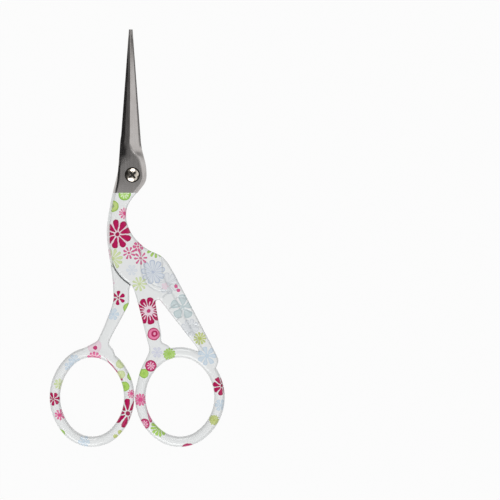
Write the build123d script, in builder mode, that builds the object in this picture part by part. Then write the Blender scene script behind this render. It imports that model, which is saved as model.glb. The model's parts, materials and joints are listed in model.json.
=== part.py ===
from build123d import *
import math
import os

os.makedirs("parts", exist_ok=True)

# Stork embroidery scissors, closed and lying on their back: +Y runs from the finger bows to the
# points, +X to the right bow, +Z up. The origin is under the middle of the scissors, on the table.
# Each half is one steel forging. Above the coat line it is bare, below it a printed coat wraps it.

# Overall sizes
overall_length = 115.0       # points to the bottom of the bows
blade_length = 40.1          # pivot axis to the front half's point
pivot_offset = 0.6           # pivot axis, left of the line where the bows meet
half_thickness = 1.6         # one half at the head
shear_gap = 0.04             # running gap between the two ground faces
run_over = 5.0               # how far a cut runs past what it cuts

# Blades
blade_offset = 0.5           # blades' centre line, left of the pivot axis
blade_root_rise = 6.0        # pivot axis to the blade's first section
blade_root_width = 6.0
blade_point_length = 2.5     # the last stretch, where the blade narrows to its point
blade_point_width = 1.35
blade_point_depth = 0.62
blade_tip_width = 0.55
blade_tip_depth = 0.35
blade_tip_lean = 0.2         # each point leans this far towards its own spine

# Head, the bare boss around the screw
head_width = 7.8
head_bevel_width = 1.2       # along the edge's side
head_bevel_depth = 0.5
head_spine_break = 0.3       # chamfer along the spine's side
runout_rise = 8.8            # pivot axis to where the two ground facets of the blade begin
runout_slope = 28.0          # degrees, the facets' run-out into the head
edge_runout_turn = 29.0      # degrees from +X that the run-out on the edge's side faces
spine_runout_turn = 148.0

# Stork body and coat
body_width = 17.2            # breast to rump
handle_drop = 0.08           # the coated handle lies this far under the head's faces
handle_round = 0.7           # rounding of the coated edges
handle_break = 0.2           # chamfer on the steel's edges under the coat
coat_thickness = 0.2
coat_drop = 4.85             # pivot axis to the line where the coat begins
coat_overlap = 1.0           # handle core's length inside the bare head
step_clearance = 0.3         # between one half's step and the other half's edge
front_step_share = 0.232     # how far down the body the front half takes its whole thickness
back_step_share = 0.437

# Finger bows
bow_height = 27.5
right_bow_width = 24.68
left_bow_width = 23.34
bow_gap = 0.19
bow_end_share = 0.88         # end radius of the oval, of half its width
bow_seat = 1.95              # how far the legs reach into the bar
bar_width = 2.87
bar_round = 1.15
bar_break = 0.6              # chamfer on the bar's steel under the coat

# Screw
screw_radius = 1.1
screw_clearance = 0.05       # front half on the screw's shank
thread_clearance = 0.02      # shank in the back half
screw_head_radius = 1.82
screw_rim_height = 0.42
screw_dome_height = 0.42
counterbore_clearance = 0.28
counterbore_depth = 0.72
screw_seat_gap = 0.04        # under the screw's head
screw_end_gap = 0.1          # shank's end, inside the back half's underside
recess_length = 2.3
recess_width = 0.55
recess_depth = 0.5
recess_turn = 40.0

# Places worked out from the sizes
thickness = 2 * half_thickness + shear_gap
front_floor = half_thickness + shear_gap
total_width = left_bow_width + bow_gap + right_bow_width
contact_x = left_bow_width + bow_gap / 2 - total_width / 2
left_bow_x = contact_x - bow_gap / 2 - left_bow_width / 2
right_bow_x = contact_x + bow_gap / 2 + right_bow_width / 2
bow_y = bow_height / 2 - overall_length / 2
pivot_x = contact_x - pivot_offset
pivot_y = overall_length / 2 - blade_length
coat_y = pivot_y - coat_drop
neck_y = pivot_y - head_width
body_length = neck_y - bow_y - bow_height / 2
blade_x = pivot_x - blade_offset

# Blade section as shares of its width, from the spine, and of its depth, from the ground face
blade_section_shares = [(0, 0), (0, 0.38), (0.43, 0.95), (0.88, 0.3), (1, 0.06), (1, 0)]
ridge_share = blade_section_shares[2][0]

# Outlines. A corner is (zone, across, along, round). Across and along are shares of the sizes of
# the zone that carries the corner; round is the share of its shorter run that its arc takes up.
front_shares = [
    ("head", -0.426, 1.301, 0), ("head", 0.268, 1.301, 0), ("head", 0.345, 0.807, 0.9),
    ("head", 0.486, 0.349, 0.95), ("head", 0.504, -0.215, 0.95), ("head", 0.250, -0.539, 0.95),
    ("head", -0.028, -0.832, 0.9),
    ("body", -0.102, -0.036, 0.95), ("body", -0.104, -0.123, 0.95), ("body", -0.010, -0.224, 0.95),
    ("body", 0.217, -0.321, 0.95), ("body", 0.489, -0.366, 0.95), ("body", 0.633, -0.460, 0.95),
    ("right", 0.784, 0.906, 0.7), ("right", 0.871, 0.736, 0.8), ("right", 0.824, 0.616, 0.7),
    ("right bar", 31, 0, 0), ("right bar", 58, 0, 0), ("right", 0.412, 0.956, 0),
    ("body", 0.478, -0.696, 0.6), ("body", 0.425, -0.666, 0.9), ("body", 0.364, -0.679, 0.9),
    ("body", 0.401, -0.783, 0.9), ("body", 0.456, -0.901, 0.9),
    ("right", -0.419, 1.100, 0.6), ("right", -0.263, 1.040, 0.8), ("right", -0.174, 0.936, 0),
    ("right bar", 101, 0, 0), ("right bar", 120, 0, 0), ("right bar", 140, 0, 0),
    ("right bar", 160, 0, 0), ("right", -0.960, 0.266, 0), ("right", -0.882, 0.546, 0.6),
    ("right", -0.666, 0.926, 0.9),
    ("body", 0.233, -0.950, 0.9), ("body", 0.082, -0.685, 0.8), ("body", 0.003, -0.573, 0.8),
    ("body", -0.169, -0.520, 0.9), ("body", -0.305, -0.439, 0.95), ("body", -0.371, -0.296, 0.95),
    ("body", -0.369, -0.123, 0.95), ("body", -0.307, 0.029, 0.95),
    ("head", -0.543, -0.321, 0.95), ("head", -0.469, 0.631, 0.9)]
back_shares = [
    ("head", -0.416, 1.301, 0), ("head", 0.254, 1.301, 0), ("head", 0.324, 0.807, 0.9),
    ("head", 0.458, 0.349, 0.95), ("head", 0.476, -0.215, 0.95), ("head", 0.226, -0.529, 0.95),
    ("head", -0.049, -0.814, 0.9),
    ("body", -0.109, -0.036, 0.95), ("body", -0.112, -0.144, 0.95), ("body", -0.067, -0.325, 0.9),
    ("body", -0.030, -0.571, 0.6), ("body", -0.054, -0.595, 0.9), ("body", -0.051, -0.696, 0.8),
    ("body", -0.118, -0.751, 0.9), ("body", -0.347, -0.935, 0.8),
    ("left", 0.385, 1.054, 0.9), ("left", 0.505, 0.950, 0.8), ("left", 0.536, 0.856, 0.5),
    ("left", 0.570, 0.766, 0),
    ("left bar", 46, 0, 0), ("left bar", 66, 0, 0), ("left bar", 87, 0, 0), ("left bar", 108, 0, 0),
    ("left", -0.265, 0.950, 0), ("left", 0.018, 1.072, 0.8), ("left", 0.135, 1.130, 0.9),
    ("body", -0.464, -0.865, 0.9), ("body", -0.345, -0.738, 0.9), ("body", -0.300, -0.668, 0.95),
    ("body", -0.316, -0.526, 0.9), ("body", -0.395, -0.318, 0.95), ("body", -0.422, -0.199, 0.95),
    ("body", -0.393, -0.088, 0.95),
    ("head", -0.698, -0.567, 0.9), ("head", -0.508, 0.173, 0.9), ("head", -0.455, 0.631, 0.9)]


def place(zone, across, along):
    """Where a corner lies. Across is an angle where the corner is hidden in a bow's bar."""
    if zone == "head":
        return pivot_x + across * head_width, pivot_y + along * head_width
    if zone == "body":
        return pivot_x + across * body_width, neck_y + along * body_length
    side = zone.split()[0]
    bow_x = {"right": right_bow_x, "left": left_bow_x}[side]
    half_width = {"right": right_bow_width, "left": left_bow_width}[side] / 2
    half_height = bow_height / 2
    if zone == side:
        return bow_x + across * half_width, bow_y + along * half_height
    turn = math.radians(across)
    return (bow_x + (half_width - bow_seat) * math.cos(turn),
            bow_y + (half_height - bow_seat) * math.sin(turn))


def corner_radius(before, corner, after, round_share):
    """Radius of the arc that takes up a share of half the corner's shorter run."""
    run_in, run_out = math.dist(before, corner), math.dist(corner, after)
    turn = (math.atan2(after[1] - corner[1], after[0] - corner[0])
            - math.atan2(corner[1] - before[1], corner[0] - before[0]))
    half_turn = abs(math.remainder(turn, math.tau)) / 2
    return round_share * min(run_in, run_out) / 2 / math.tan(half_turn)


def outline_face(shares):
    """A half's outline seen from above, from the blade's root to the bow's bar."""
    corners = [place(zone, across, along) for zone, across, along, _ in shares]
    radii = [corner_radius(corners[i - 1], corners[i], corners[(i + 1) % len(corners)], share[3])
             for i, share in enumerate(shares)]
    with BuildSketch() as face:
        with BuildLine():
            FilletPolyline(*corners, radius=radii, close=True)
        make_face()
    return face.sketch


def oval_face(bow_x, bow_width, inset):
    """The oval of a bow, drawn in by the inset: four arcs, each tangent to the next."""
    half_long, half_short = max(bow_width, bow_height) / 2, min(bow_width, bow_height) / 2
    end_radius = bow_end_share * half_short
    side_radius = ((half_short ** 2 + half_long ** 2 - 2 * half_long * end_radius)
                   / (2 * (half_short - end_radius)))
    end_shift, side_shift = half_long - end_radius, side_radius - half_short
    turn = math.degrees(math.atan2(end_shift, side_shift))
    with BuildSketch() as upright:
        with BuildLine():
            CenterArc((-side_shift, 0), side_radius - inset, -turn, 2 * turn)
            CenterArc((0, end_shift), end_radius - inset, turn, 180 - 2 * turn)
            CenterArc((side_shift, 0), side_radius - inset, 180 - turn, 2 * turn)
            CenterArc((0, -end_shift), end_radius - inset, 180 + turn, 180 - 2 * turn)
        make_face()
    with BuildSketch() as face:
        with Locations((bow_x, bow_y)):
            add(upright.sketch, rotation=90 if bow_width > bow_height else 0)
    return face.sketch


def soften(edges, inset, round_radius, break_length):
    """The coated form is round along its edges; the steel under the coat has them broken."""
    if inset:
        chamfer(edges, length=break_length)
    else:
        fillet(edges, radius=round_radius)


def bow_form(bow_x, bow_width, inset):
    """A finger bow: an oval bar with rounded edges."""
    with BuildPart() as form:
        with BuildSketch(Plane.XY.offset(inset)):
            add(oval_face(bow_x, bow_width, inset))
            add(oval_face(bow_x, bow_width, bar_width - inset), mode=Mode.SUBTRACT)
        extrude(amount=thickness - 2 * inset)
        rims = form.edges().group_by(Axis.Z)
        soften(rims[0] + rims[-1], inset, bar_round, bar_break)
    return form.part


def handle_form(face, pocket, pocket_amount, bow_x, bow_width, inset):
    """A half's neck, body, legs and bow, drawn in by the inset on every outer side.

    The pocket is the room on the mating side that the other half lies in.
    """
    with BuildPart() as form:
        with BuildSketch(Plane.XY.offset(handle_drop + inset)):
            add(face)
            if inset:
                offset(amount=-inset)
        extrude(amount=thickness - 2 * (handle_drop + inset))
        rims = form.edges().group_by(Axis.Z)
        soften(rims[0] + rims[-1], inset, handle_round, handle_break)
        with BuildSketch(Plane.XY.offset(front_floor if pocket_amount < 0 else half_thickness)):
            add(pocket)
        extrude(amount=pocket_amount, mode=Mode.SUBTRACT)
        add(bow_form(bow_x, bow_width, inset))
    return form.part


def pocket_face(other_face, step_y):
    """Room for the other half: its outline with clearance, and everything above the step."""
    with BuildSketch() as face:
        add(other_face)
        offset(amount=step_clearance)
        with Locations((pivot_x, step_y)):
            Rectangle(total_width + run_over, overall_length, align=(Align.CENTER, Align.MIN))
    return face.sketch


def runout_plane(turn, flip):
    """The plane where a ground facet runs out into the head; flip gives the back half's."""
    slope, facing = math.radians(runout_slope), math.radians(turn)
    peak_x = (ridge_share - 0.5) * blade_root_width
    return Plane(
        origin=(blade_x + flip * peak_x, pivot_y + runout_rise, thickness if flip > 0 else 0),
        z_dir=(flip * math.sin(slope) * math.cos(facing), math.sin(slope) * math.sin(facing),
               flip * math.cos(slope)))


def head_form(face, flip):
    """The bare boss around the screw, from the blade's root to the coat; flip is -1 at the back."""
    with BuildPart() as form:
        with BuildSketch(Plane.XY.offset(front_floor if flip > 0 else half_thickness)):
            add(face)
            with Locations((pivot_x, coat_y - coat_overlap)):
                Rectangle(total_width, overall_length, align=(Align.CENTER, Align.MIN),
                          mode=Mode.INTERSECT)
        extrude(amount=flip * half_thickness)
        for side, width, depth in [(flip, head_bevel_width, head_bevel_depth),
                                   (-flip, head_spine_break, head_spine_break)]:
            outer = form.faces().sort_by(Axis.Z)[-1 if flip > 0 else 0]
            rim = outer.edges().filter_by(Axis.X, reverse=True)
            rim = rim.filter_by(lambda edge: side * (edge.center().X - pivot_x) > 0)
            chamfer(rim, length=width, length2=depth, reference=outer)
        split(bisect_by=Plane.XZ.offset(-coat_y), keep=Keep.BOTTOM)
        split(bisect_by=runout_plane(edge_runout_turn, flip), keep=Keep.BOTTOM)
        split(bisect_by=runout_plane(spine_runout_turn, flip), keep=Keep.BOTTOM)
    return form.part


front_face = outline_face(front_shares)
back_face = outline_face(back_shares)
front_pocket = pocket_face(back_face, neck_y - front_step_share * body_length)
back_pocket = pocket_face(front_face, neck_y - back_step_share * body_length)

# One blade: spine and edge facets that meet at a ridge, and a narrow bevel along the edge
with BuildPart() as blade:
    for rise, width, depth, lean in [
            (blade_root_rise, blade_root_width, half_thickness, 0),
            (blade_length - blade_point_length, blade_point_width, blade_point_depth, 0),
            (blade_length, blade_tip_width, blade_tip_depth, blade_tip_lean)]:
        with BuildSketch(Plane.XZ.offset(-pivot_y - rise)):
            with BuildLine():
                Polyline(*[(blade_x - lean + (across - 0.5) * width, front_floor + up * depth)
                           for across, up in blade_section_shares], close=True)
            make_face()
    loft(ruled=True)
turned_over = Axis((blade_x, 0, thickness / 2), (0, 1, 0))

# Front half: right bow, stork body with its tail and front leg, head and front blade
with BuildPart() as front_half:
    add(handle_form(front_face, front_pocket, -thickness, right_bow_x, right_bow_width,
                    coat_thickness))
    split(bisect_by=Plane.XZ.offset(-coat_y - coat_overlap), keep=Keep.TOP)
    add(head_form(front_face, 1))
    add(blade.part)
    with Locations((pivot_x, pivot_y, thickness)):
        CounterBoreHole(screw_radius + screw_clearance, screw_head_radius + counterbore_clearance,
                        counterbore_depth, thickness)
front_half.part.label = "front_half"
export_step(front_half.part, "parts/front_half.step")

# Back half: left bow, hind leg, neck and head under the front half's, and back blade
with BuildPart() as back_half:
    add(handle_form(back_face, back_pocket, thickness, left_bow_x, left_bow_width,
                    coat_thickness))
    split(bisect_by=Plane.XZ.offset(-coat_y - coat_overlap), keep=Keep.TOP)
    add(head_form(back_face, -1))
    add(blade.part.rotate(turned_over, 180))
    with Locations((pivot_x, pivot_y, half_thickness)):
        Hole(screw_radius + thread_clearance, thickness)
back_half.part.label = "back_half"
export_step(back_half.part, "parts/back_half.step")

# Printed coats: what the whole handle has beyond its steel, below the coat line
with BuildPart() as front_coat:
    add(handle_form(front_face, front_pocket, -thickness, right_bow_x, right_bow_width, 0))
    split(bisect_by=Plane.XZ.offset(-coat_y), keep=Keep.TOP)
    add(front_half.part, mode=Mode.SUBTRACT)
front_coat.part.label = "front_coat"
export_step(front_coat.part, "parts/front_coat.step")

with BuildPart() as back_coat:
    add(handle_form(back_face, back_pocket, thickness, left_bow_x, left_bow_width, 0))
    split(bisect_by=Plane.XZ.offset(-coat_y), keep=Keep.TOP)
    add(back_half.part, mode=Mode.SUBTRACT)
back_coat.part.label = "back_coat"
export_step(back_coat.part, "parts/back_coat.step")

# Pivot screw: a domed head with a cross recess, seated in the front half's counterbore
seat_z = thickness - counterbore_depth + screw_seat_gap
rim_z = seat_z + screw_rim_height
dome_z = rim_z + screw_dome_height
with BuildPart() as pivot_screw:
    with BuildSketch(Plane(origin=(pivot_x, pivot_y, 0), x_dir=(1, 0, 0), z_dir=(0, -1, 0))):
        with BuildLine():
            Polyline((0, dome_z), (0, screw_end_gap), (screw_radius, screw_end_gap),
                     (screw_radius, seat_z), (screw_head_radius, seat_z), (screw_head_radius, rim_z))
            RadiusArc((screw_head_radius, rim_z), (0, dome_z),
                      -(screw_head_radius ** 2 + screw_dome_height ** 2) / (2 * screw_dome_height))
        make_face()
    revolve(axis=Axis((pivot_x, pivot_y, 0), (0, 0, 1)))
    with BuildSketch(Plane.XY.offset(dome_z)):
        with Locations((pivot_x, pivot_y)):
            for turn in (recess_turn, recess_turn + 90):
                Rectangle(recess_length, recess_width, rotation=turn)
    extrude(amount=-recess_depth, mode=Mode.SUBTRACT)
pivot_screw.part.label = "pivot_screw"
export_step(pivot_screw.part, "parts/pivot_screw.step")
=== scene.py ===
import bmesh
import bpy
import json
import math
import numpy as np
from mathutils import Matrix, Vector
from mathutils.bvhtree import BVHTree


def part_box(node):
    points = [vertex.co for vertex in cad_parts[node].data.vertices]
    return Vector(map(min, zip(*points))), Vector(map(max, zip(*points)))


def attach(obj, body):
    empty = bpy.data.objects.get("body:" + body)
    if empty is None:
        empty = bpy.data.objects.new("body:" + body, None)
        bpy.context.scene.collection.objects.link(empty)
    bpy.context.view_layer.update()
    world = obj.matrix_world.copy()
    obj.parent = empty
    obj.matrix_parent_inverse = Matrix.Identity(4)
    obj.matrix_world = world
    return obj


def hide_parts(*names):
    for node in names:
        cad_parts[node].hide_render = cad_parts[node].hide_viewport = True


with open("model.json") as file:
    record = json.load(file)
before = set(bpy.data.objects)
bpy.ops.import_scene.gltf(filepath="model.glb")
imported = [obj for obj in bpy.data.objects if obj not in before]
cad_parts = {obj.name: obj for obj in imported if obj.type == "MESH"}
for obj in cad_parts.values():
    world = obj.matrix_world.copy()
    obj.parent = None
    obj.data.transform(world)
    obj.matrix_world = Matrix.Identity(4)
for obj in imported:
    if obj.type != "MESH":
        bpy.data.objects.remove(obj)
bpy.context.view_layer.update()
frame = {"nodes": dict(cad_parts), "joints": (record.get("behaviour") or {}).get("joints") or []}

# Stork embroidery scissors, closed, lying on their back. Shapes are worked out in millimetres and
# brought to metres as each piece is finished. Places that the frame gives are read from it.
TO_METRES = 0.001

# Places on the scissors, in mm
PIVOT_X = frame["joints"][0]["pos_m"][0] / TO_METRES
PIVOT_Y = frame["joints"][0]["pos_m"][1] / TO_METRES
COAT_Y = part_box("front_coat")[1].y / TO_METRES   # line where the printed coat begins
POINT_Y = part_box("front_half")[1].y / TO_METRES
EDGE_GAP = 0.01                                  # keeps a cut or a ray clear of an edge
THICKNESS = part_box("front_half")[1].z / TO_METRES
HALF_THICKNESS = 1.6
UNDERSIDE_TOP = HALF_THICKNESS * 0.9             # faces below it carry the underside's print
BLADE_X = PIVOT_X - 0.5                          # the back half is a front half turned over here


def linear(hex_colour):
    """An sRGB hex colour as the linear colour that the shaders take."""
    shares = [int(hex_colour[place:place + 2], 16) / 255 for place in (1, 3, 5)]
    return (*[c / 12.92 if c <= 0.04045 else ((c + 0.055) / 1.055) ** 2.4 for c in shares], 1)


def add_node(tree, kind, settings, inputs):
    """Adds a node with its settings, and a value or another node's output at each input named."""
    node = tree.nodes.new(kind)
    for name, value in settings.items():
        setattr(node, name, value)
    for name, value in inputs.items():
        if isinstance(value, bpy.types.NodeSocket):
            tree.links.new(value, node.inputs[name])
        else:
            node.inputs[name].default_value = value
    return node


def new_group(name, kind, inputs, output):
    """A node group with its named inputs and its one output."""
    group = bpy.data.node_groups.new(name, kind)
    for label, socket_kind in inputs:
        group.interface.new_socket(label, in_out="INPUT", socket_type=socket_kind)
    group.interface.new_socket(output[0], in_out="OUTPUT", socket_type=output[1])
    return group, group.nodes.new("NodeGroupInput").outputs


def new_material(name):
    """An empty node material and its tree."""
    material = bpy.data.materials.new(name)
    material.use_nodes = True
    material.node_tree.nodes.clear()
    return material, material.node_tree


# The print. Each ink: rim colour, fill colour, heart colour, heart as a share of the radius, and
# how much of the white lacquer the ink covers.
INKS = {
    "crimson": ("#a40048", "#ba0056", "#a40048", 0.15, 1.0),
    "raspberry": ("#b02058", "#cf3f7c", "#cf3f7c", 0.0, 1.0),
    "rose": ("#c63f74", "#e0679a", "#d2507f", 0.2, 1.0),
    "pink": ("#da4784", "#eb79aa", "#e1528e", 0.35, 1.0),
    "magenta": ("#b8205c", "#ee86b0", "#ee86b0", 0.0, 1.0),
    "magenta eye": ("#b8205c", "#b8205c", "#f3a9c8", 0.45, 1.0),
    "star": ("#f2bcd4", "#f8d8e6", "#f6cfe0", 0.2, 1.0),
    "blush": ("#eccddb", "#f0d6e2", "#eccddb", 0.0, 0.8),
    "leaf": ("#98c257", "#b2da69", "#a5cf60", 0.3, 1.0),
    "lime": ("#8cc24a", "#a9d868", "#a9d868", 0.0, 1.0),
    "pale lime": ("#d2efac", "#e4f7cc", "#b5de80", 0.25, 1.0),
    "ringed lime": ("#9cc050", "#c6dc86", "#a6b884", 0.3, 1.0),
    "spring": ("#c3d68c", "#d6e4a8", "#cbdc98", 0.2, 0.9),
    "olive": ("#b7c468", "#cbd788", "#bfcb74", 0.3, 1.0),
    "sky": ("#b9d0e4", "#cfdfec", "#c4d8e8", 0.2, 0.8),
    "mist": ("#d0d9e6", "#dde4ec", "#d6dee8", 0.2, 0.7),
    "drawn blue": ("#b2c0d6", "#dce2ea", "#b8c4d8", 0.12, 0.9),
    "lavender": ("#cccfe4", "#dadcea", "#d0d2e6", 0.2, 0.8),
    "drawn white": ("#cdd2d9", "#e6e9ec", "#cdd2d9", 0.12, 0.9),
    "teal": ("#b6cacd", "#c9d8da", "#c0d0d3", 0.15, 0.85),
}

# Printed motifs, from the neck down: ink, centre x and y and radius in mm, petals (0 for a disc, 1
# for a line), turn in degrees, petal's share of its sector, and where petals begin as a share of
# the radius
FRONT_MOTIFS = [
    ("lime", -3.4, 12.1, 1.73, 0, 0, 1.00, -1.00),
    ("pale lime", -3.4, 12.1, 1.26, 9, 10, 0.70, 0.10),
    ("ringed lime", -6.6, 8.8, 1.57, 0, 0, 1.00, -1.00),
    ("pink", -3.4, 6.8, 1.57, 11, 0, 0.62, 0.10),
    ("blush", -5.4, 1.1, 3.30, 0, 0, 1.00, -1.00),
    ("crimson", -5.4, 1.1, 4.01, 9, 98, 0.76, 0.20),
    ("rose", -2.2, -4.1, 1.73, 8, 22, 0.50, 0.28),
    ("rose", 1.0, -5.5, 1.87, 8, 5, 0.50, 0.28),
    ("rose", 0.3, -2.3, 1.48, 7, 30, 0.80, 0.30),
    ("leaf", 5.2, -2.7, 2.75, 12, 0, 0.60, 0.30),
    ("spring", -6.7, -5.7, 2.85, 11, 8, 0.70, 0.12),
    ("mist", -1.4, -8.8, 1.51, 6, 0, 0.70, 0.10),
    ("drawn white", 8.6, -12.4, 3.00, 8, 10, 0.85, 0.10),
    ("drawn white", 14.6, -24.6, 2.40, 8, 30, 0.85, 0.10),
    ("drawn blue", 4.4, -9.3, 3.35, 9, 15, 0.85, 0.10),
    ("spring", 0.7, -12.6, 2.06, 9, 0, 0.55, 0.10),
    ("blush", 7.7, -13.2, 0.99, 5, 0, 0.80, 0.00),
    ("rose", 10.7, -13.2, 0.49, 0, 0, 1.00, -1.00),
    ("rose", 11.4, -14.3, 0.49, 0, 0, 1.00, -1.00),
    ("teal", 12.6, -18.9, 3.44, 5, 90, 0.75, 0.12),
    ("olive", 17.3, -27.6, 1.76, 11, 0, 0.72, 0.10),
    ("sky", 19.2, -32.4, 2.61, 7, 0, 0.70, 0.10),
    ("blush", 3.2, -20.0, 3.40, 0, 0, 1.00, -1.00),
    ("crimson", 3.2, -20.0, 3.75, 9, 122, 0.86, 0.34),
    ("star", 3.2, -20.0, 2.70, 9, 122, 0.22, 0.45),
    ("raspberry", 3.2, -20.0, 0.50, 0, 0, 1.00, -1.00),
    ("magenta", 4.6, -26.4, 1.70, 0, 0, 1.00, -1.00),
    ("magenta eye", 4.8, -26.3, 0.90, 0, 0, 1.00, -1.00),
    ("lavender", 5.5, -31.4, 1.51, 6, 0, 0.75, 0.10),
    ("leaf", 8.9, -31.9, 1.70, 12, 0, 0.92, 0.05),
    ("raspberry", 3.8, -35.1, 1.58, 0, 0, 1.00, -1.00),
    ("star", 3.8, -35.1, 1.15, 8, 0, 0.45, 0.05),
    ("leaf", 1.9, -37.2, 1.32, 0, 0, 1.00, -1.00),
    ("pink", 1.0, -44.4, 1.75, 11, 0, 0.85, 0.05),
    ("magenta", 2.2, -44.9, 6.00, 1, -73, 0.030, 0.10),
    ("raspberry", 2.0, -51.1, 1.50, 0, 0, 1.00, -1.00),
    ("star", 2.0, -51.1, 1.05, 8, 0, 0.45, 0.05),
    ("leaf", 6.2, -52.1, 2.45, 12, 5, 0.80, 0.20),
    ("crimson", 23.3, -40.6, 2.64, 8, 170, 0.80, 0.18),
    ("sky", 23.0, -45.9, 1.65, 6, 0, 0.75, 0.10),
    ("olive", 21.2, -50.0, 1.45, 12, 0, 0.95, 0.00),
    ("raspberry", 14.1, -58.6, 2.20, 0, 0, 1.00, -1.00),
]

BACK_MOTIFS = [
    ("blush", -8.6, -4.4, 1.60, 0, 0, 1.00, -1.00),
    ("blush", -7.4, -12.4, 1.30, 7, 0, 0.80, 0.10),
    ("raspberry", -8.9, -32.4, 8.40, 1, -54, 0.022, 0.06),
    ("crimson", -5.2, -16.4, 2.01, 6, 85, 0.66, 0.20),
    ("leaf", -2.2, -19.3, 1.54, 0, 0, 1.00, -1.00),
    ("sky", -6.6, -20.9, 1.65, 6, 0, 0.75, 0.10),
    ("blush", -11.7, -29.7, 1.92, 0, 0, 1.00, -1.00),
    ("raspberry", -11.5, -30.1, 0.60, 0, 0, 1.00, -1.00),
    ("pink", -11.8, -33.2, 2.03, 11, 90, 0.80, 0.25),
    ("sky", -17.3, -33.5, 1.54, 6, 0, 0.75, 0.10),
    ("sky", -18.7, -35.3, 1.26, 5, 0, 0.75, 0.10),
    ("spring", -21.3, -40.1, 1.48, 8, 0, 0.70, 0.10),
    ("crimson", -23.0, -44.2, 1.87, 7, 60, 0.72, 0.14),
    ("pink", -21.2, -48.6, 1.48, 9, 0, 0.66, 0.10),
    ("leaf", -21.2, -54.0, 1.48, 0, 0, 1.00, -1.00),
    ("sky", -14.6, -56.0, 1.65, 6, 0, 0.75, 0.10),
    ("olive", -5.9, -54.5, 0.62, 0, 0, 1.00, -1.00),
    ("olive", -4.6, -53.4, 0.62, 0, 0, 1.00, -1.00),
    ("crimson", -2.5, -48.2, 4.12, 9, 93, 0.74, 0.20),
    ("pink", -1.5, -42.8, 1.15, 9, 0, 0.66, 0.10),
    ("leaf", -3.4, -40.8, 1.35, 0, 0, 1.00, -1.00),
    ("leaf", -1.5, -37.9, 1.25, 0, 0, 1.00, -1.00),
    ("spring", -4.4, -37.5, 1.15, 0, 0, 1.00, -1.00),
    ("spring", -4.5, -34.5, 1.26, 0, 0, 1.00, -1.00),
]

# On the back half's neck, where the front half covers it when closed
COVERED_MOTIFS = [
    ("pink", -4.6, 8.8, 1.50, 11, 0, 0.62, 0.10),
    ("crimson", -5.2, 2.4, 2.30, 8, 20, 0.76, 0.20),
    ("leaf", -4.9, -2.9, 1.50, 12, 0, 0.60, 0.20),
    ("sky", -4.6, -7.2, 1.60, 6, 0, 0.75, 0.10),
]

# The underside and the faces that meet are printed from other stretches of the same film: motifs
# at the same places, each with the look of the one seven rows on.
UNDER_STEP = 7

FILM_WANDER = 0.5       # full swing of the film's stretch, in mm
FLOWER_SOFTNESS = 0.12  # of a petal's outline, in the measure that is 1 on it
HEART_SOFTNESS = 0.03   # of the heart's outline, as a share of the radius
PRESSED_LINE_SHADE = 0.72     # how far painted shade greys the lacquer in the deepest of a pressed line


def under_motifs(places):
    """The underside's motifs, at the places that a half covers there."""
    looks = FRONT_MOTIFS[UNDER_STEP:] + FRONT_MOTIFS[:UNDER_STEP]
    return [(ink, x, y, *look) for (_, x, y, *_), (ink, _, _, *look) in zip(places, looks)]


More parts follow.
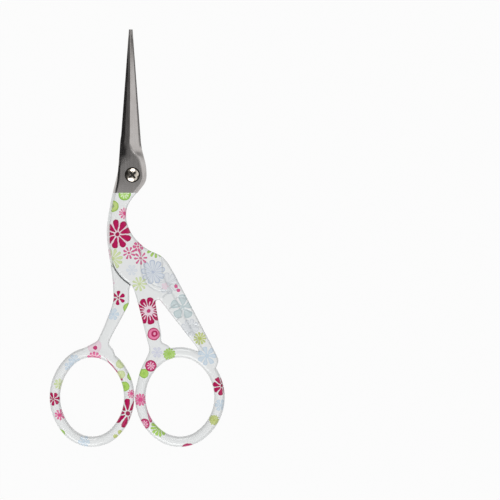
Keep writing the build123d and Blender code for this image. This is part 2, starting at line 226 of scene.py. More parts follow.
def flower_group():
    """Node group that prints one flower or disc over the colour that it is given."""
    group, given = new_group("Printed flower", "ShaderNodeTree", [
        ("Under", "NodeSocketColor"), ("Place", "NodeSocketVector"),
        ("Centre", "NodeSocketVector"), ("Radius", "NodeSocketFloat"),
        ("Petals", "NodeSocketFloat"), ("Turn", "NodeSocketFloat"),
        ("Petal width", "NodeSocketFloat"), ("Petal start", "NodeSocketFloat"),
        ("Rim", "NodeSocketColor"), ("Fill", "NodeSocketColor"), ("Heart", "NodeSocketColor"),
        ("Heart share", "NodeSocketFloat"), ("Cover", "NodeSocketFloat")],
        ("Colour", "NodeSocketColor"))
    offset = add_node(group, "ShaderNodeVectorMath", {"operation": "SUBTRACT"},
                      {0: given["Place"], 1: given["Centre"]})
    reach = add_node(group, "ShaderNodeVectorMath", {"operation": "LENGTH"},
                     {0: offset.outputs[0]})
    apart = add_node(group, "ShaderNodeSeparateXYZ", {}, {0: offset.outputs[0]})
    angle = add_node(group, "ShaderNodeMath", {"operation": "ARCTAN2"},
                     {0: apart.outputs["Y"], 1: apart.outputs["X"]})
    turned = add_node(group, "ShaderNodeMath", {"operation": "SUBTRACT"},
                      {0: angle.outputs[0], 1: given["Turn"]})
    sector = add_node(group, "ShaderNodeMath", {"operation": "DIVIDE"},
                      {0: given["Petals"], 1: math.tau})
    sectors = add_node(group, "ShaderNodeMath", {"operation": "MULTIPLY"},
                       {0: turned.outputs[0], 1: sector.outputs[0]})
    swing = add_node(group, "ShaderNodeMath", {"operation": "PINGPONG"},
                     {0: sectors.outputs[0], 1: 0.5})
    half_width = add_node(group, "ShaderNodeMath", {"operation": "MULTIPLY"},
                          {0: given["Petal width"], 1: 0.5})
    across = add_node(group, "ShaderNodeMath", {"operation": "DIVIDE"},
                      {0: swing.outputs[0], 1: half_width.outputs[0]})
    out = add_node(group, "ShaderNodeMath", {"operation": "DIVIDE"},
                   {0: reach.outputs["Value"], 1: given["Radius"]})
    along = add_node(group, "ShaderNodeMapRange", {"clamp": False},
                     {"Value": out.outputs[0], "From Min": given["Petal start"],
                      "From Max": 1, "To Min": -1, "To Max": 1})
    across_square = add_node(group, "ShaderNodeMath", {"operation": "MULTIPLY"},
                             {0: across.outputs[0], 1: across.outputs[0]})
    along_square = add_node(group, "ShaderNodeMath", {"operation": "MULTIPLY"},
                            {0: along.outputs[0], 1: along.outputs[0]})
    inside = add_node(group, "ShaderNodeMath", {"operation": "MULTIPLY_ADD"},
                      {0: along_square.outputs[0], 1: along_square.outputs[0],
                       2: across_square.outputs[0]})
    petal = add_node(group, "ShaderNodeMapRange", {"interpolation_type": "SMOOTHSTEP"},
                     {"Value": inside.outputs[0], "From Min": 1 - FLOWER_SOFTNESS,
                      "From Max": 1 + FLOWER_SOFTNESS, "To Min": 1, "To Max": 0})
    core = add_node(group, "ShaderNodeMapRange", {"interpolation_type": "SMOOTHSTEP"},
                    {"Value": inside.outputs[0], "From Min": 0.25, "From Max": 0.75,
                     "To Min": 1, "To Max": 0})
    ink = add_node(group, "ShaderNodeMix", {"data_type": "RGBA"},
                   {0: core.outputs[0], 6: given["Rim"], 7: given["Fill"]})
    petal_cover = add_node(group, "ShaderNodeMath", {"operation": "MULTIPLY"},
                           {0: petal.outputs[0], 1: given["Cover"]})
    printed = add_node(group, "ShaderNodeMix", {"data_type": "RGBA"},
                       {0: petal_cover.outputs[0], 6: given["Under"], 7: ink.outputs[2]})
    past_heart = add_node(group, "ShaderNodeMath", {"operation": "SUBTRACT"},
                          {0: given["Heart share"], 1: out.outputs[0]})
    heart = add_node(group, "ShaderNodeMapRange", {"interpolation_type": "SMOOTHSTEP"},
                     {"Value": past_heart.outputs[0], "From Min": -HEART_SOFTNESS,
                      "From Max": HEART_SOFTNESS})
    heart_cover = add_node(group, "ShaderNodeMath", {"operation": "MULTIPLY"},
                           {0: heart.outputs[0], 1: given["Cover"]})
    hearted = add_node(group, "ShaderNodeMix", {"data_type": "RGBA"},
                       {0: heart_cover.outputs[0], 6: printed.outputs[2], 7: given["Heart"]})
    add_node(group, "NodeGroupOutput", {}, {"Colour": hearted.outputs[2]})
    return group


def printed_lacquer(name, motifs, flower):
    """Sprayed white lacquer, water-transfer print and a clear gloss coat over it.

    The eye sees near white with soft flowers on it and sharp reflections on every round edge. The
    print is laid on straight down, so its petals become bands on the side walls.
    """
    material, tree = new_material(name)
    place = add_node(tree, "ShaderNodeTexCoord", {}, {})
    scaled = add_node(tree, "ShaderNodeVectorMath", {"operation": "SCALE"},
                      {0: place.outputs["Object"], "Scale": 1 / TO_METRES})
    # The film stretches as it wraps, so the motifs' outlines wander by about 0.15 mm. The noise
    # lies round a half, so the motifs' centres go along by half the swing.
    wander = add_node(tree, "ShaderNodeTexNoise", {"noise_dimensions": "3D"},
                      {"Vector": scaled.outputs[0], "Scale": 0.9, "Detail": 2.0})
    wandered = add_node(tree, "ShaderNodeVectorMath", {"operation": "MULTIPLY_ADD"},
                        {0: wander.outputs["Color"], 1: (FILM_WANDER,) * 3, 2: scaled.outputs[0]})
    parts = add_node(tree, "ShaderNodeSeparateXYZ", {}, {0: wandered.outputs[0]})
    film = add_node(tree, "ShaderNodeCombineXYZ", {},
                    {"X": parts.outputs["X"], "Y": parts.outputs["Y"]})
    # The lacquer yellows and greys a little from place to place
    cloud = add_node(tree, "ShaderNodeTexNoise", {"noise_dimensions": "3D"},
                     {"Vector": scaled.outputs[0], "Scale": 0.14, "Detail": 2.0})
    base = add_node(tree, "ShaderNodeMix", {"data_type": "RGBA"},
                    {0: cloud.outputs["Fac"], 6: linear("#e9ebeb"), 7: linear("#f2f4f4")})
    colour = base.outputs[2]
    for ink, x, y, radius, petals, turn, width, start in motifs:
        rim, fill, heart, heart_share, cover = INKS[ink]
        printed = add_node(tree, "ShaderNodeGroup", {"node_tree": flower}, {
            "Under": colour, "Place": film.outputs[0],
            "Centre": (x + FILM_WANDER / 2, y + FILM_WANDER / 2, 0),
            "Radius": radius, "Petals": petals, "Turn": math.radians(turn),
            "Petal width": width, "Petal start": start, "Rim": linear(rim),
            "Fill": linear(fill), "Heart": linear(heart), "Heart share": heart_share,
            "Cover": cover})
        colour = printed.outputs[0]
    # Painted shade in the pressed feather lines: the lacquer is drawn greyer where they are
    # deepest
    pressed = add_node(tree, "ShaderNodeAttribute", {"attribute_name": "pressed"}, {})
    line_shade = add_node(tree, "ShaderNodeMath", {"operation": "MULTIPLY"},
                        {0: pressed.outputs["Fac"], 1: PRESSED_LINE_SHADE})
    line_shaded = add_node(tree, "ShaderNodeMix", {"data_type": "RGBA"},
                      {0: line_shade.outputs[0], 6: colour, 7: linear("#a9afb2")})
    # Orange peel of the sprayed clear coat, about 0.6 mm from crest to crest
    peel = add_node(tree, "ShaderNodeTexNoise", {"noise_dimensions": "3D"},
                    {"Vector": scaled.outputs[0], "Scale": 1.6, "Detail": 1.0})
    bump = add_node(tree, "ShaderNodeBump", {},
                    {"Strength": 0.12, "Distance": 0.05 * TO_METRES,
                     "Height": peel.outputs["Fac"]})
    shader = add_node(tree, "ShaderNodeBsdfPrincipled", {}, {
        "Base Color": line_shaded.outputs[2], "Roughness": 0.4, "Specular IOR Level": 0.15,
        "Coat Weight": 1.0, "Coat Roughness": 0.06, "Coat IOR": 1.5,
        "Normal": bump.outputs[0], "Coat Normal": bump.outputs[0]})
    add_node(tree, "ShaderNodeOutputMaterial", {}, {"Surface": shader.outputs[0]})
    return material


def ground_steel():
    """Hardened stainless steel, ground and then polished along the blade.

    The eye sees a satin grey mirror with fine streaks along the blade and a faint bloom where the
    heat treatment shows.
    """
    material, tree = new_material("ground stainless steel")
    place = add_node(tree, "ShaderNodeTexCoord", {}, {})
    # Grinding streaks 0.15 mm apart and 15 mm long, drawn coarser than the 0.02 mm real ones
    streak_place = add_node(tree, "ShaderNodeMapping", {},
                            {"Vector": place.outputs["Object"], "Scale": (6600, 66, 6600)})
    streaks = add_node(tree, "ShaderNodeTexNoise", {"noise_dimensions": "3D"},
                       {"Vector": streak_place.outputs[0], "Scale": 1.0, "Detail": 3.0})
    bloom = add_node(tree, "ShaderNodeTexNoise", {"noise_dimensions": "3D"},
                     {"Vector": place.outputs["Object"], "Scale": 420.0, "Detail": 4.0})
    shade = add_node(tree, "ShaderNodeMix", {"data_type": "RGBA"},
                     {0: bloom.outputs["Fac"], 6: linear("#b6b0ad"), 7: linear("#c9c6c4")})
    rough = add_node(tree, "ShaderNodeMapRange", {},
                     {"Value": streaks.outputs["Fac"], "From Min": 0.3, "From Max": 0.7,
                      "To Min": 0.19, "To Max": 0.29})
    bump = add_node(tree, "ShaderNodeBump", {},
                    {"Strength": 0.06, "Distance": 0.02 * TO_METRES,
                     "Height": streaks.outputs["Fac"]})
    shader = add_node(tree, "ShaderNodeBsdfPrincipled", {}, {
        "Base Color": shade.outputs[2], "Metallic": 1.0, "Roughness": rough.outputs[0],
        "Normal": bump.outputs[0]})
    add_node(tree, "ShaderNodeOutputMaterial", {}, {"Surface": shader.outputs[0]})
    return material


def plated_nickel():
    """Bright nickel plate on a turned steel screw: warm, and nearly a mirror."""
    material, tree = new_material("nickel plate")
    place = add_node(tree, "ShaderNodeTexCoord", {}, {})
    handling = add_node(tree, "ShaderNodeTexNoise", {"noise_dimensions": "3D"},
                        {"Vector": place.outputs["Object"], "Scale": 900.0, "Detail": 2.0})
    rough = add_node(tree, "ShaderNodeMapRange", {},
                     {"Value": handling.outputs["Fac"], "To Min": 0.12, "To Max": 0.24})
    shade = add_node(tree, "ShaderNodeMix", {"data_type": "RGBA"},
                     {0: handling.outputs["Fac"], 6: linear("#cfc6ba"), 7: linear("#ded6ca")})
    shader = add_node(tree, "ShaderNodeBsdfPrincipled", {}, {
        "Base Color": shade.outputs[2], "Metallic": 1.0, "Roughness": rough.outputs[0]})
    add_node(tree, "ShaderNodeOutputMaterial", {}, {"Surface": shader.outputs[0]})
    return material


def recess_shade_steel():
    """Steel painted dark and dull for the shade in the ring round the screw's head and in its
    recess.
    """
    material, tree = new_material("steel painted with recess shade")
    place = add_node(tree, "ShaderNodeTexCoord", {}, {})
    shade_mottle = add_node(tree, "ShaderNodeTexNoise", {"noise_dimensions": "3D"},
                     {"Vector": place.outputs["Object"], "Scale": 1500.0, "Detail": 3.0})
    shade = add_node(tree, "ShaderNodeMix", {"data_type": "RGBA"},
                     {0: shade_mottle.outputs["Fac"], 6: linear("#1f1b18"), 7: linear("#3d362f")})
    shader = add_node(tree, "ShaderNodeBsdfPrincipled", {}, {
        "Base Color": shade.outputs[2], "Roughness": 0.55, "IOR": 1.47})
    add_node(tree, "ShaderNodeOutputMaterial", {}, {"Surface": shader.outputs[0]})
    return material


steel = ground_steel()
recess_shade = recess_shade_steel()
nickel = plated_nickel()
printed_flower = flower_group()
# The back half's neck lies under the front half's, left of X = 0 and down to the thigh
THIGH_Y = -13
back_places = BACK_MOTIFS + [row for row in FRONT_MOTIFS if row[1] < 0 and row[2] > THIGH_Y]
front_lacquers = [printed_lacquer("printed lacquer, front half", FRONT_MOTIFS, printed_flower),
                  printed_lacquer("printed lacquer, front half's underside",
                                  under_motifs(FRONT_MOTIFS), printed_flower)]
back_lacquers = [printed_lacquer("printed lacquer, back half", BACK_MOTIFS + COVERED_MOTIFS,
                                 printed_flower),
                 printed_lacquer("printed lacquer, back half's underside",
                                 under_motifs(back_places), printed_flower)]


def node_form(node, keep_below=None):
    """A merged copy of a CAD node in mm, cut off beyond a place along Y and closed again."""
    form = bmesh.new()
    form.from_mesh(frame["nodes"][node].data)
    bmesh.ops.scale(form, vec=(1 / TO_METRES,) * 3, verts=form.verts)
    bmesh.ops.remove_doubles(form, verts=form.verts, dist=0.001)
    if keep_below is not None:
        bmesh.ops.bisect_plane(form, geom=[*form.verts, *form.edges, *form.faces],
                               plane_co=(0, keep_below, 0), plane_no=(0, 1, 0),
                               clear_outer=True)
        open_edges = [edge for edge in form.edges if edge.is_boundary]
        bmesh.ops.edgeloop_fill(form, edges=open_edges)
    mesh = bpy.data.meshes.new(node + " form")
    form.to_mesh(mesh)
    form.free()
    return mesh


def new_piece(name, mesh):
    """An object for a mesh, linked to the scene."""
    piece = bpy.data.objects.new(name, mesh)
    bpy.context.scene.collection.objects.link(piece)
    return piece


def finished(worked, name, material):
    """The worked object with its modifiers applied, in metres, as a plain piece."""
    bpy.context.view_layer.update()
    depsgraph = bpy.context.evaluated_depsgraph_get()
    mesh = bpy.data.meshes.new_from_object(worked.evaluated_get(depsgraph))
    bpy.data.objects.remove(worked)
    mesh.transform(Matrix.Scale(TO_METRES, 4))
    mesh.materials.clear()
    mesh.materials.append(material)
    mesh.shade_smooth()
    return new_piece(name, mesh)


# Pressed lines of the wing and of the tail's feathers, as points in mm from the neck's side down
FEATHER_LINES = [
    [(1.1, -1.3), (1.1, -3.8), (1.0, -6.6), (1.1, -8.8),
     (1.6, -11.0), (2.7, -12.6), (4.4, -14.0), (6.6, -14.8), (8.5, -14.5)],
    [(1.9, -6.6), (2.1, -8.8), (2.5, -10.5), (3.6, -12.1), (5.2, -13.2), (6.9, -13.7)],
    [(6.9, -5.5), (6.9, -7.7), (7.0, -9.6)],
    [(7.1, -10.4), (8.5, -13.2), (10.4, -16.5), (12.1, -19.8),
     (13.5, -22.5), (15.1, -25.3), (16.8, -28.3), (18.1, -30.7)],
    [(8.5, -13.2), (9.9, -12.3), (11.3, -12.6)],
    [(9.3, -14.5), (8.0, -15.1), (7.1, -16.2)],
    [(10.4, -16.5), (12.1, -15.9), (13.2, -16.7)],
    [(11.3, -18.1), (9.6, -18.4), (8.8, -19.5)],
    [(12.1, -19.8), (13.7, -19.5), (14.8, -20.3)],
    [(12.9, -21.4), (11.5, -21.7), (10.7, -22.5)],
    [(14.3, -23.9), (15.9, -23.6), (17.0, -24.4)],
    [(15.1, -25.5), (14.0, -26.1), (13.5, -26.9)],
]
FEATHER_LINE_WIDTH = 0.34   # from the line's middle to where its flank ends
FEATHER_LINE_DEPTH = 0.15
FEATHER_LINE_SINK = 0.08    # from the coat's highest point down to the face that is pressed
SKIN_VOXEL = 0.16


def feather_press(material):
    """Geometry nodes that press lines into the face that they lie on, with rounded flanks.

    The share that each point is pressed is kept as an attribute, for the lacquer's painted shade
    in the lines.
    """
    group, given = new_group("Feather press", "GeometryNodeTree", [
        ("Handle", "NodeSocketGeometry"), ("Lines", "NodeSocketObject"),
        ("Line width", "NodeSocketFloat"), ("Line depth", "NodeSocketFloat")],
        ("Pressed handle", "NodeSocketGeometry"))
    lines = add_node(group, "GeometryNodeObjectInfo", {"transform_space": "RELATIVE"},
                     {"Object": given["Lines"]})
    near = add_node(group, "GeometryNodeProximity", {"target_element": "EDGES"},
                    {0: lines.outputs["Geometry"]})
    share = add_node(group, "ShaderNodeMapRange", {"interpolation_type": "SMOOTHSTEP"},
                     {"Value": near.outputs["Distance"], "From Min": 0,
                      "From Max": given["Line width"], "To Min": 1, "To Max": 0})
    depth = add_node(group, "ShaderNodeMath", {"operation": "MULTIPLY"},
                     {0: share.outputs[0], 1: given["Line depth"]})
    down = add_node(group, "ShaderNodeMath", {"operation": "MULTIPLY"},
                    {0: depth.outputs[0], 1: -1})
    offset = add_node(group, "ShaderNodeCombineXYZ", {}, {"Z": down.outputs[0]})
    pressed = add_node(group, "GeometryNodeSetPosition", {},
                       {"Geometry": given["Handle"], "Offset": offset.outputs[0]})
    kept = add_node(group, "GeometryNodeStoreNamedAttribute", {"domain": "POINT"},
                    {"Geometry": pressed.outputs[0], "Name": "pressed",
                     "Value": share.outputs[0]})
    real = add_node(group, "GeometryNodeRealizeInstances", {}, {0: kept.outputs[0]})
    coated = add_node(group, "GeometryNodeSetMaterial", {},
                      {"Geometry": real.outputs[0], "Material": material})
    add_node(group, "NodeGroupOutput", {}, {"Pressed handle": coated.outputs[0]})
    return group


def feather_lines(height):
    """The pressed lines as smooth open curves made a mesh of edges, at the height of the face."""
    curve = bpy.data.curves.new("feather lines", "CURVE")
    curve.dimensions = "3D"
    curve.resolution_u = 6
    for points in FEATHER_LINES:
        spline = curve.splines.new("NURBS")
        spline.points.add(len(points) - 1)
        for point, (x, y) in zip(spline.points, points):
            point.co = (x, y, height, 1)
        spline.order_u = 3
        spline.use_endpoint_u = True
    drawn = new_piece("feather lines drawn", curve)
    depsgraph = bpy.context.evaluated_depsgraph_get()
    mesh = bpy.data.meshes.new_from_object(drawn.evaluated_get(depsgraph))
    bpy.data.objects.remove(drawn)
    return new_piece("feather lines", mesh)


def handle_piece(name, half, coat, lacquers, lines=None):
    """A coated handle: steel and coat made one skin, with its edges flowed soft by the lacquer.

    Lacquers are the one for the upper faces and the one for the underside.
    """
    form = bmesh.new()
    form.from_mesh(node_form(half, COAT_Y - EDGE_GAP))
    form.from_mesh(node_form(coat))
    mesh = bpy.data.meshes.new(name)
    form.to_mesh(mesh)
    form.free()
    worked = new_piece(name + " work", mesh)
    skin = worked.modifiers.new("one skin", "REMESH")
    skin.mode = "VOXEL"
    skin.voxel_size = SKIN_VOXEL
    flow = worked.modifiers.new("lacquer flow", "SMOOTH")
    flow.factor = 0.5
    flow.iterations = 8
    if lines:
        press = worked.modifiers.new("feathers", "NODES")
        press.node_group = feather_press(lacquers[0])
        sockets = {item.name: item.identifier for item in press.node_group.interface.items_tree}
        press[sockets["Lines"]] = lines
        press[sockets["Line width"]] = FEATHER_LINE_WIDTH
        press[sockets["Line depth"]] = FEATHER_LINE_DEPTH
    piece = finished(worked, name, lacquers[0])
    piece.data.materials.append(lacquers[1])
    for face in piece.data.polygons:
        face.material_index = int(face.center.z < UNDERSIDE_TOP * TO_METRES)
    return piece


pressed_lines = feather_lines(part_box("front_coat")[1].z / TO_METRES - FEATHER_LINE_SINK)
front_handle = handle_piece("front_handle", "front_half", "front_coat", front_lacquers,
                            pressed_lines)
bpy.data.objects.remove(pressed_lines)
back_handle = handle_piece("back_handle", "back_half", "back_coat", back_lacquers)
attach(front_handle, "front")
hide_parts("front_coat")
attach(back_handle, "back")
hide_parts("back_coat")

# The ground halves. Places with Y in their names, and the first of each pair in a list, are along
# the blade. Other lengths, all in mm, are across it or up from its mating face. The bevelled band
# along the edge's side is the blade's facet run on round the head.
ROW_STEP = 0.2
COLUMNS = 56
BELL_REACH = 2.5            # of a soft edge's average, for its softness
UNDER_COAT = 0.08           # how far the ground steel runs on under the coat's edge
RAY_RISE = 0.02             # above the mating face, where the walls are measured
FACET_POINTS = 15           # along a section's facet on the spine's side
RUN_OUT_Y = 25.9            # where the blade's facet on the edge's side becomes the band
BLADE_Y = (RUN_OUT_Y - 1.2, RUN_OUT_Y + 0.6)
EDGE_BEVEL_END_Y = 25.1
HONED_Y = (EDGE_BEVEL_END_Y - 0.5, EDGE_BEVEL_END_Y + 0.4)
RIDGE_SHARE = 0.46          # of the blade's width, from the spine
EDGE_BEVEL_SHARE = 0.806    # of the facet's width, from the ridge
SPINE_HEIGHT_SHARE = 0.38   # of the blade's depth, as all heights of the blade are
SPINE_HEIGHT_GAIN = 0.42    # towards the point
SPINE_GAIN_Y = (44, 54)
RIDGE_HEIGHT_SHARE = 0.95
BEVEL_HEIGHT_SHARE = 0.3
EDGE_HEIGHT_SHARE = 0.06
# The spine's facet is ground in two planes, steep and then flat: shares of its width and its rise
SPINE_FACET_CORNER = ((0, 0.43, 1), (0, 0.66, 1))
# The spine's facet fades into the head's flat face, further from the screw nearer the ridge
FADE_Y = (19.4, 23.7)
FADE_SLANT = 4.6            # along Y, across the whole facet
FADE_SLANT_SHARE = 0.6      # of the facet, beyond which the fade stays level
HEAD_BREAK = 0.3            # chamfer on the spine's side of the head
HEAD_BREAK_Y = (20.0, 23.2)     # where it runs out
HEAD_CROWN = 0.2            # how far the head's face falls away towards the coat
HEAD_CROWN_Y = 18.0         # where it begins to
HEAD_CROWN_SQUARE = 30      # square of the distance over which it falls by that much
MATING_BREAK = 0.55         # chamfer that shows where the back half's neck stands out at the left
MATING_BREAK_Y = (19.0, 24.0)   # where it runs out
MATING_BREAK_RISE = 1.15    # its height for its width
STEP_SHARE = 0.35           # the band's inner step low on the head
STEP_SLOPES = (0.34, 0.28)
STEP_Y = (17.0, 19.5)       # where the step gives way to the plain band
RUN_ON_HEIGHTS = (0.28, 1.05)   # of the wall under the facet, at the blade and at the band
RUN_ON_Y = (20.0, 25.4)     # where one becomes the other
ROOT_WIDTH = 5.8            # the blade's, where its facets run out
BAND_WIDTHS = [(12.0, 1.15), (14.9, 1.05), (17.0, 1.1), (20.1, 1.38), (22.0, 1.3), (22.9, 1.6),
               (23.4, 2.25), (24.5, 2.8), (RUN_OUT_Y, 3.05)]
BAND_AVERAGE = np.linspace(-0.8, 0.8, 17)   # each width is an average over these places round it
BLADE_DEPTHS = [(23.4, HALF_THICKNESS), (55.0, 0.62), (57.5, 0.35)]
# Reach of the soft edges that grinding leaves: of the walls along the blade, and of the face
# across it
WALL_SOFTNESS = 0.45
SOFTNESS = [(12.0, 0.04), (18.0, 0.06), (21.0, 0.22), (22.5, 0.44), (24.5, 0.5), (26.6, 0.05)]


def rise(low, high, value):
    """0 below low, 1 above high, and an even curve between them."""
    share = np.clip((value - low) / (high - low), 0, 1)
    return share * share * (3 - 2 * share)


def sides_at(node, rows, height):
    """Where a half's two side walls stand at each row, as seen by rays along X, in mm."""
    tree = BVHTree.FromPolygons([vertex.co for vertex in frame["nodes"][node].data.vertices],
                                [face.vertices for face in frame["nodes"][node].data.polygons])
    found = []
    for row in rows:
        y = min(max(row, COAT_Y + 2 * EDGE_GAP), POINT_Y - EDGE_GAP) * TO_METRES
        from_left = tree.ray_cast(Vector((-1, y, height * TO_METRES)), Vector((1, 0, 0)))[0]
        from_right = tree.ray_cast(Vector((1, y, height * TO_METRES)), Vector((-1, 0, 0)))[0]
        found.append((from_left.x / TO_METRES, from_right.x / TO_METRES))
    return np.array(found)


def spine_side(y, share, depth):
    """Height of the spine's side at a share of the way from the spine to the ridge."""
    spine_share = SPINE_HEIGHT_SHARE + SPINE_HEIGHT_GAIN * rise(*SPINE_GAIN_Y, y)
    facet = (spine_share + (RIDGE_HEIGHT_SHARE - spine_share)
             * np.interp(share, *SPINE_FACET_CORNER)) * depth
    face = HALF_THICKNESS - HEAD_CROWN * max(HEAD_CROWN_Y - y, 0) ** 2 / HEAD_CROWN_SQUARE
    fade_shift = FADE_SLANT * min(share, FADE_SLANT_SHARE)
    in_head = 1 - rise(FADE_Y[0] + fade_shift, FADE_Y[1] + fade_shift, y)
    return facet * (1 - in_head) + face * in_head


def ground_section(y, width):
    """Corners of one section's outer face, from the spine's wall to the edge's wall."""
    depth = np.interp(y, *zip(*BLADE_DEPTHS))
    band_run_on = np.average(np.interp(y + BAND_AVERAGE, *zip(*BAND_WIDTHS)),
                             weights=np.hanning(len(BAND_AVERAGE) + 2)[1:-1])
    blade_share = rise(*BLADE_Y, y)
    band = band_run_on * (1 - blade_share) + (1 - RIDGE_SHARE) * width * blade_share
    ridge = width - band
    corners = [(share * ridge, spine_side(y, share, depth))
               for share in np.linspace(0, 1, FACET_POINTS)]
    head_break = HEAD_BREAK * (1 - rise(*HEAD_BREAK_Y, y))
    if head_break > EDGE_GAP:
        corners = ([(0, corners[0][1] - head_break)]
                   + [(x, z) for x, z in corners if x > head_break])
    top = corners[-1][1]
    # The facet ends in a narrow honed bevel, or runs on to the wall, or steps down low on the head
    facet_width = (1 - RIDGE_SHARE) * (width if y > RUN_OUT_Y else ROOT_WIDTH)
    slope = (RIDGE_HEIGHT_SHARE - BEVEL_HEIGHT_SHARE) * depth / (EDGE_BEVEL_SHARE * facet_width)
    honed = rise(*HONED_Y, y)
    stepped = 1 - rise(*STEP_Y, y)
    run_on = RUN_ON_HEIGHTS[1] + (RUN_ON_HEIGHTS[0] - RUN_ON_HEIGHTS[1]) * rise(*RUN_ON_Y, y)
    bevel_height = ((top - slope * band * EDGE_BEVEL_SHARE) * honed
                    + (top + (run_on - top) * EDGE_BEVEL_SHARE) * (1 - honed))
    edge_height = honed * EDGE_HEIGHT_SHARE * depth + (1 - honed) * run_on
    step_height = top - band * STEP_SHARE * STEP_SLOPES[0]
    foot_height = step_height - band * (1 - STEP_SHARE) * STEP_SLOPES[1]
    share = EDGE_BEVEL_SHARE * (1 - stepped) + STEP_SHARE * stepped
    corners.append((ridge + share * band, bevel_height * (1 - stepped) + step_height * stepped))
    corners.append((width, edge_height * (1 - stepped) + foot_height * stepped))
    return corners


def softened(across, heights, softness):
    """Evenly spaced heights with the grinding's soft edges, by a bell-shaped average."""
    step = across[1] - across[0]
    reach = max(int(BELL_REACH * softness / step), 1)
    bell = np.exp(-0.5 * (np.arange(-reach, reach + 1) * step / softness) ** 2)
    padded = np.pad(heights, reach, mode="reflect", reflect_type="odd")
    return np.convolve(padded, bell / bell.sum(), "valid")


def drill_form(radius, low, high):
    """A round drill about the pivot, between two heights, that no render shows."""
    form = bmesh.new()
    bmesh.ops.create_cone(form, cap_ends=True, segments=96, radius1=radius, radius2=radius,
                          depth=high - low,
                          matrix=Matrix.Translation((PIVOT_X, PIVOT_Y, (low + high) / 2)))
    mesh = bpy.data.meshes.new("drill")
    form.to_mesh(mesh)
    form.free()
    return new_piece("drill", mesh)


def ground_half(name, node, side, holes):
    """Blade and head of one half, lofted row by row and drilled.

    Side is 1 at the front and -1 at the back, which is worked as a front half and turned over.
    Each hole is its radius and its two heights.
    """
    rows = np.append(np.arange(COAT_Y - UNDER_COAT, POINT_Y - ROW_STEP / 4, ROW_STEP), POINT_Y)
    mating = THICKNESS / 2 + side * (THICKNESS / 2 - HALF_THICKNESS)
    both_walls = np.stack([softened(rows, wall, WALL_SOFTNESS)
                           for wall in sides_at(node, rows, mating + side * RAY_RISE).T], axis=1)
    vertices = []
    for y, walls in zip(rows, both_walls):
        spine, edge = walls if side > 0 else 2 * BLADE_X - walls[::-1]
        width = edge - spine
        across = np.linspace(0, width, COLUMNS)
        heights = np.interp(across, *zip(*ground_section(y, width)))
        heights = softened(across, heights, np.interp(y, *zip(*SOFTNESS)))
        mating_break = MATING_BREAK * (1 - rise(*MATING_BREAK_Y, y)) if side < 0 else 0
        section = [(0, 0), *zip(across, heights), (width, MATING_BREAK_RISE * mating_break),
                   (width - mating_break, 0)]
        for x, z in section:
            turned = spine + x if side > 0 else 2 * BLADE_X - spine - x
            vertices.append((turned, y, mating + side * z))
    ring = len(section)
    faces = [tuple(range(ring)), tuple(reversed(range(len(vertices) - ring, len(vertices))))]
    for start in range(0, len(vertices) - ring, ring):
        for column in range(ring):
            after = (column + 1) % ring
            faces.append((start + column, start + ring + column,
                          start + ring + after, start + after))
    mesh = bpy.data.meshes.new(name)
    mesh.from_pydata(vertices, [], faces)
    worked = new_piece(name + " work", mesh)
    merged = worked.modifiers.new("merged", "WELD")
    merged.merge_threshold = 0.0005
    drills = [drill_form(*hole) for hole in holes]
    for drill in drills:
        cut = worked.modifiers.new("drilled", "BOOLEAN")
        cut.operation = "DIFFERENCE"
        cut.solver = "EXACT"
        cut.object = drill
    piece = finished(worked, name, steel)
    piece.data.set_sharp_from_angle(angle=math.radians(35))
    for drill in drills:
        bpy.data.objects.remove(drill)
    return piece


# The front half is counterbored for the screw's head. Drills run on past the faces they break.
SCREW_SEAT = THICKNESS - 0.72
SEAT_RADIUS = 2.1
FRONT_HOLE_RADIUS = 1.15
BACK_HOLE_RADIUS = 1.12
RUN_PAST = 0.1
front_blade = ground_half("front_blade", "front_half", 1,
                          [(SEAT_RADIUS, SCREW_SEAT, THICKNESS + 1),
                           (FRONT_HOLE_RADIUS, -1, SCREW_SEAT + RUN_PAST)])
back_blade = ground_half("back_blade", "back_half", -1, [(BACK_HOLE_RADIUS, -1, THICKNESS + 1)])
# The counterbore's faces round the screw's head take the painted shade of the recess
front_blade.data.materials.append(recess_shade)
for face in front_blade.data.polygons:
    from_pivot = face.center / TO_METRES - Vector((PIVOT_X, PIVOT_Y, SCREW_SEAT))
    if from_pivot.to_2d().length < SEAT_RADIUS + 2 * EDGE_GAP and from_pivot.z > -RUN_PAST:
        face.material_index = 1
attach(front_blade, "front")
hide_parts("front_half")
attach(back_blade, "back")
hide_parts("back_half")


# The screw's cross recess lies within this radius, and is painted dark for its shade between these
# heights from the top
RECESS_RADIUS = 1.2
RECESS_HEIGHTS = (-0.6, -0.15)


def screw_piece():
    """The pivot screw with the burr taken off its rim and off its recess."""
    worked = new_piece("screw work", node_form("pivot_screw"))
    broken = worked.modifiers.new("broken edges", "BEVEL")
    broken.limit_method = "ANGLE"
    broken.angle_limit = math.radians(30)
    broken.width = 0.06
    broken.segments = 3
    broken.harden_normals = True
    piece = finished(worked, "screw", nickel)
    # The cross recess takes the painted shade, as dark dull steel
    piece.data.materials.append(recess_shade)
    top = max(vertex.co.z for vertex in piece.data.vertices) / TO_METRES
    for face in piece.data.polygons:
        from_top = face.center / TO_METRES - Vector((PIVOT_X, PIVOT_Y, top))
        in_recess_shade = RECESS_HEIGHTS[0] < from_top.z < RECESS_HEIGHTS[1]
        if in_recess_shade and from_top.to_2d().length < RECESS_RADIUS:
            face.material_index = 1
    return piece


screw = screw_piece()
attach(screw, "back")
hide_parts("pivot_screw")


# The table top, the studio and the camera
TABLE_SIDE = 3.0        # half of the table's width, in metres
TABLE_GLOW = 0.965      # share of an even white in what the eye and a mirror see of the table
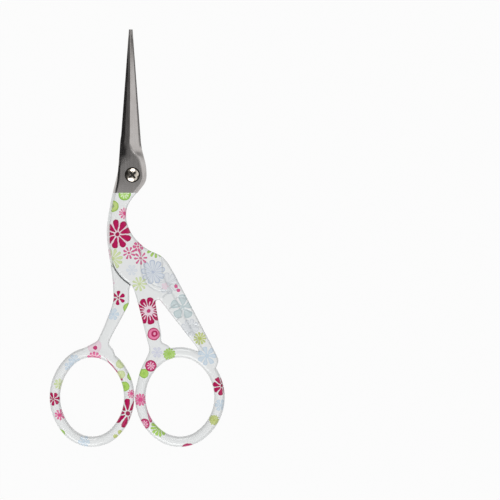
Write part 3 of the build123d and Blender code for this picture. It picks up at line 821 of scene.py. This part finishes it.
# How bright the room is round the scissors: (direction's X, level), from the left to the right
ROOM_LEVELS = [(-0.85, 0.01), (-0.62, 0.01), (-0.45, 0.11), (-0.3, 0.15), (0.0, 0.18),
               (0.12, 0.48), (0.4, 0.55), (0.56, 0.98), (0.78, 0.98), (0.88, 0.12)]
ROOM_LEAN = (-0.14, 0.26)       # by this Y the levels have moved this far left
ROOM_MIDDLE_Y = -0.04
ROOM_ENDS = (0.5, 0.7)          # from the middle along Y, where the room turns an even grey
ROOM_FOOT = (0.15, 0.3)         # heights between which it does so low down
ROOM_GREY = 0.35


def table_top():
    """A plain white table, seen evenly lit with a trace of the scissors' shadow.

    It throws less light back on the scissors than it seems to, which keeps their edges grey.
    """
    material, tree = new_material("white table")
    path = add_node(tree, "ShaderNodeLightPath", {}, {})
    seen = add_node(tree, "ShaderNodeMath", {"operation": "MAXIMUM"},
                    {0: path.outputs["Is Camera Ray"], 1: path.outputs["Is Glossy Ray"]})
    seen_through = add_node(tree, "ShaderNodeMath", {"operation": "MAXIMUM"},
                            {0: seen.outputs[0], 1: path.outputs["Is Transmission Ray"]})
    share = add_node(tree, "ShaderNodeMath", {"operation": "MULTIPLY"},
                     {0: seen_through.outputs[0], 1: TABLE_GLOW})
    lit = add_node(tree, "ShaderNodeBsdfDiffuse", {}, {"Color": linear("#808080")})
    glow = add_node(tree, "ShaderNodeEmission", {}, {"Color": (1, 1, 1, 1), "Strength": 1.0})
    both = add_node(tree, "ShaderNodeMixShader", {},
                    {0: share.outputs[0], 1: lit.outputs[0], 2: glow.outputs[0]})
    add_node(tree, "ShaderNodeOutputMaterial", {}, {"Surface": both.outputs[0]})
    mesh = bpy.data.meshes.new("table top")
    corners = [(-TABLE_SIDE, -TABLE_SIDE, 0), (TABLE_SIDE, -TABLE_SIDE, 0),
               (TABLE_SIDE, TABLE_SIDE, 0), (-TABLE_SIDE, TABLE_SIDE, 0)]
    mesh.from_pydata(corners, [], [(0, 1, 2, 3)])
    mesh.materials.append(material)
    return new_piece("table_top", mesh)


def studio():
    """The room as the steel mirrors it: dark at the left, bright at the right, grey all round."""
    world = bpy.data.worlds.new("studio")
    bpy.context.scene.world = world
    world.use_nodes = True
    tree = world.node_tree
    tree.nodes.clear()
    direction = add_node(tree, "ShaderNodeTexCoord", {}, {})
    parts = add_node(tree, "ShaderNodeSeparateXYZ", {}, {0: direction.outputs["Generated"]})
    lean = add_node(tree, "ShaderNodeMapRange", {},
                    {"Value": parts.outputs["Y"], "From Min": 0, "From Max": ROOM_LEAN[0],
                     "To Max": ROOM_LEAN[1]})
    slanted = add_node(tree, "ShaderNodeMath", {"operation": "ADD"},
                       {0: parts.outputs["X"], 1: lean.outputs[0]})
    sideways = add_node(tree, "ShaderNodeMapRange", {},
                        {"Value": slanted.outputs[0], "From Min": -1, "From Max": 1})
    ramp = add_node(tree, "ShaderNodeValToRGB", {}, {0: sideways.outputs[0]})
    while len(ramp.color_ramp.elements) < len(ROOM_LEVELS):
        ramp.color_ramp.elements.new(0.5)
    for element, (side, level) in zip(ramp.color_ramp.elements, ROOM_LEVELS):
        element.position = (side + 1) / 2
        element.color = (level, level, level, 1)
    shifted = add_node(tree, "ShaderNodeMath", {"operation": "ADD"},
                       {0: parts.outputs["Y"], 1: -ROOM_MIDDLE_Y})
    aside = add_node(tree, "ShaderNodeMath", {"operation": "ABSOLUTE"}, {0: shifted.outputs[0]})
    ends = add_node(tree, "ShaderNodeMapRange", {"interpolation_type": "SMOOTHSTEP"},
                    {"Value": aside.outputs[0], "From Min": ROOM_ENDS[0],
                     "From Max": ROOM_ENDS[1]})
    low = add_node(tree, "ShaderNodeMapRange", {"interpolation_type": "SMOOTHSTEP"},
                   {"Value": parts.outputs["Z"], "From Min": ROOM_FOOT[0],
                    "From Max": ROOM_FOOT[1], "To Min": 1, "To Max": 0})
    off_side = add_node(tree, "ShaderNodeMath", {"operation": "MAXIMUM"},
                        {0: ends.outputs[0], 1: low.outputs[0]})
    level = add_node(tree, "ShaderNodeMix", {"data_type": "RGBA"},
                     {0: off_side.outputs[0], 6: ramp.outputs[0], 7: (*(ROOM_GREY,) * 3, 1)})
    glow = add_node(tree, "ShaderNodeBackground", {},
                    {"Color": level.outputs[2], "Strength": 1.0})
    add_node(tree, "ShaderNodeOutputWorld", {}, {"Surface": glow.outputs[0]})


def softbox(name, place, size, power):
    """A square soft lamp that faces the scissors."""
    lamp = bpy.data.lights.new(name, "AREA")
    lamp.shape = "SQUARE"
    lamp.size = size
    lamp.energy = power
    lamp_object = bpy.data.objects.new(name, lamp)
    lamp_object.location = place
    lamp_object.rotation_euler = (-Vector(place)).to_track_quat("-Z", "Y").to_euler()
    bpy.context.scene.collection.objects.link(lamp_object)


table_top()
studio()
softbox("softbox below", place=(-0.3, -0.75, 0.75), size=0.8, power=7.0)
softbox("softbox above", place=(0.0, 0.75, 0.75), size=0.5, power=3.2)

# The camera looks straight down from far off, so that the view is 137.5 mm wide at the scissors
VIEW_CENTRE = (0.03107, -0.00326)
VIEW_WIDTH = 0.13746
camera_data = bpy.data.cameras.new("camera")
camera_data.lens = 200
camera_data.sensor_width = 36
camera = bpy.data.objects.new("camera", camera_data)
camera.location = (*VIEW_CENTRE, THICKNESS * TO_METRES
                   + VIEW_WIDTH * camera_data.lens / camera_data.sensor_width)
bpy.context.scene.collection.objects.link(camera)
bpy.context.scene.camera = camera
bpy.context.scene.view_settings.view_transform = "Standard"
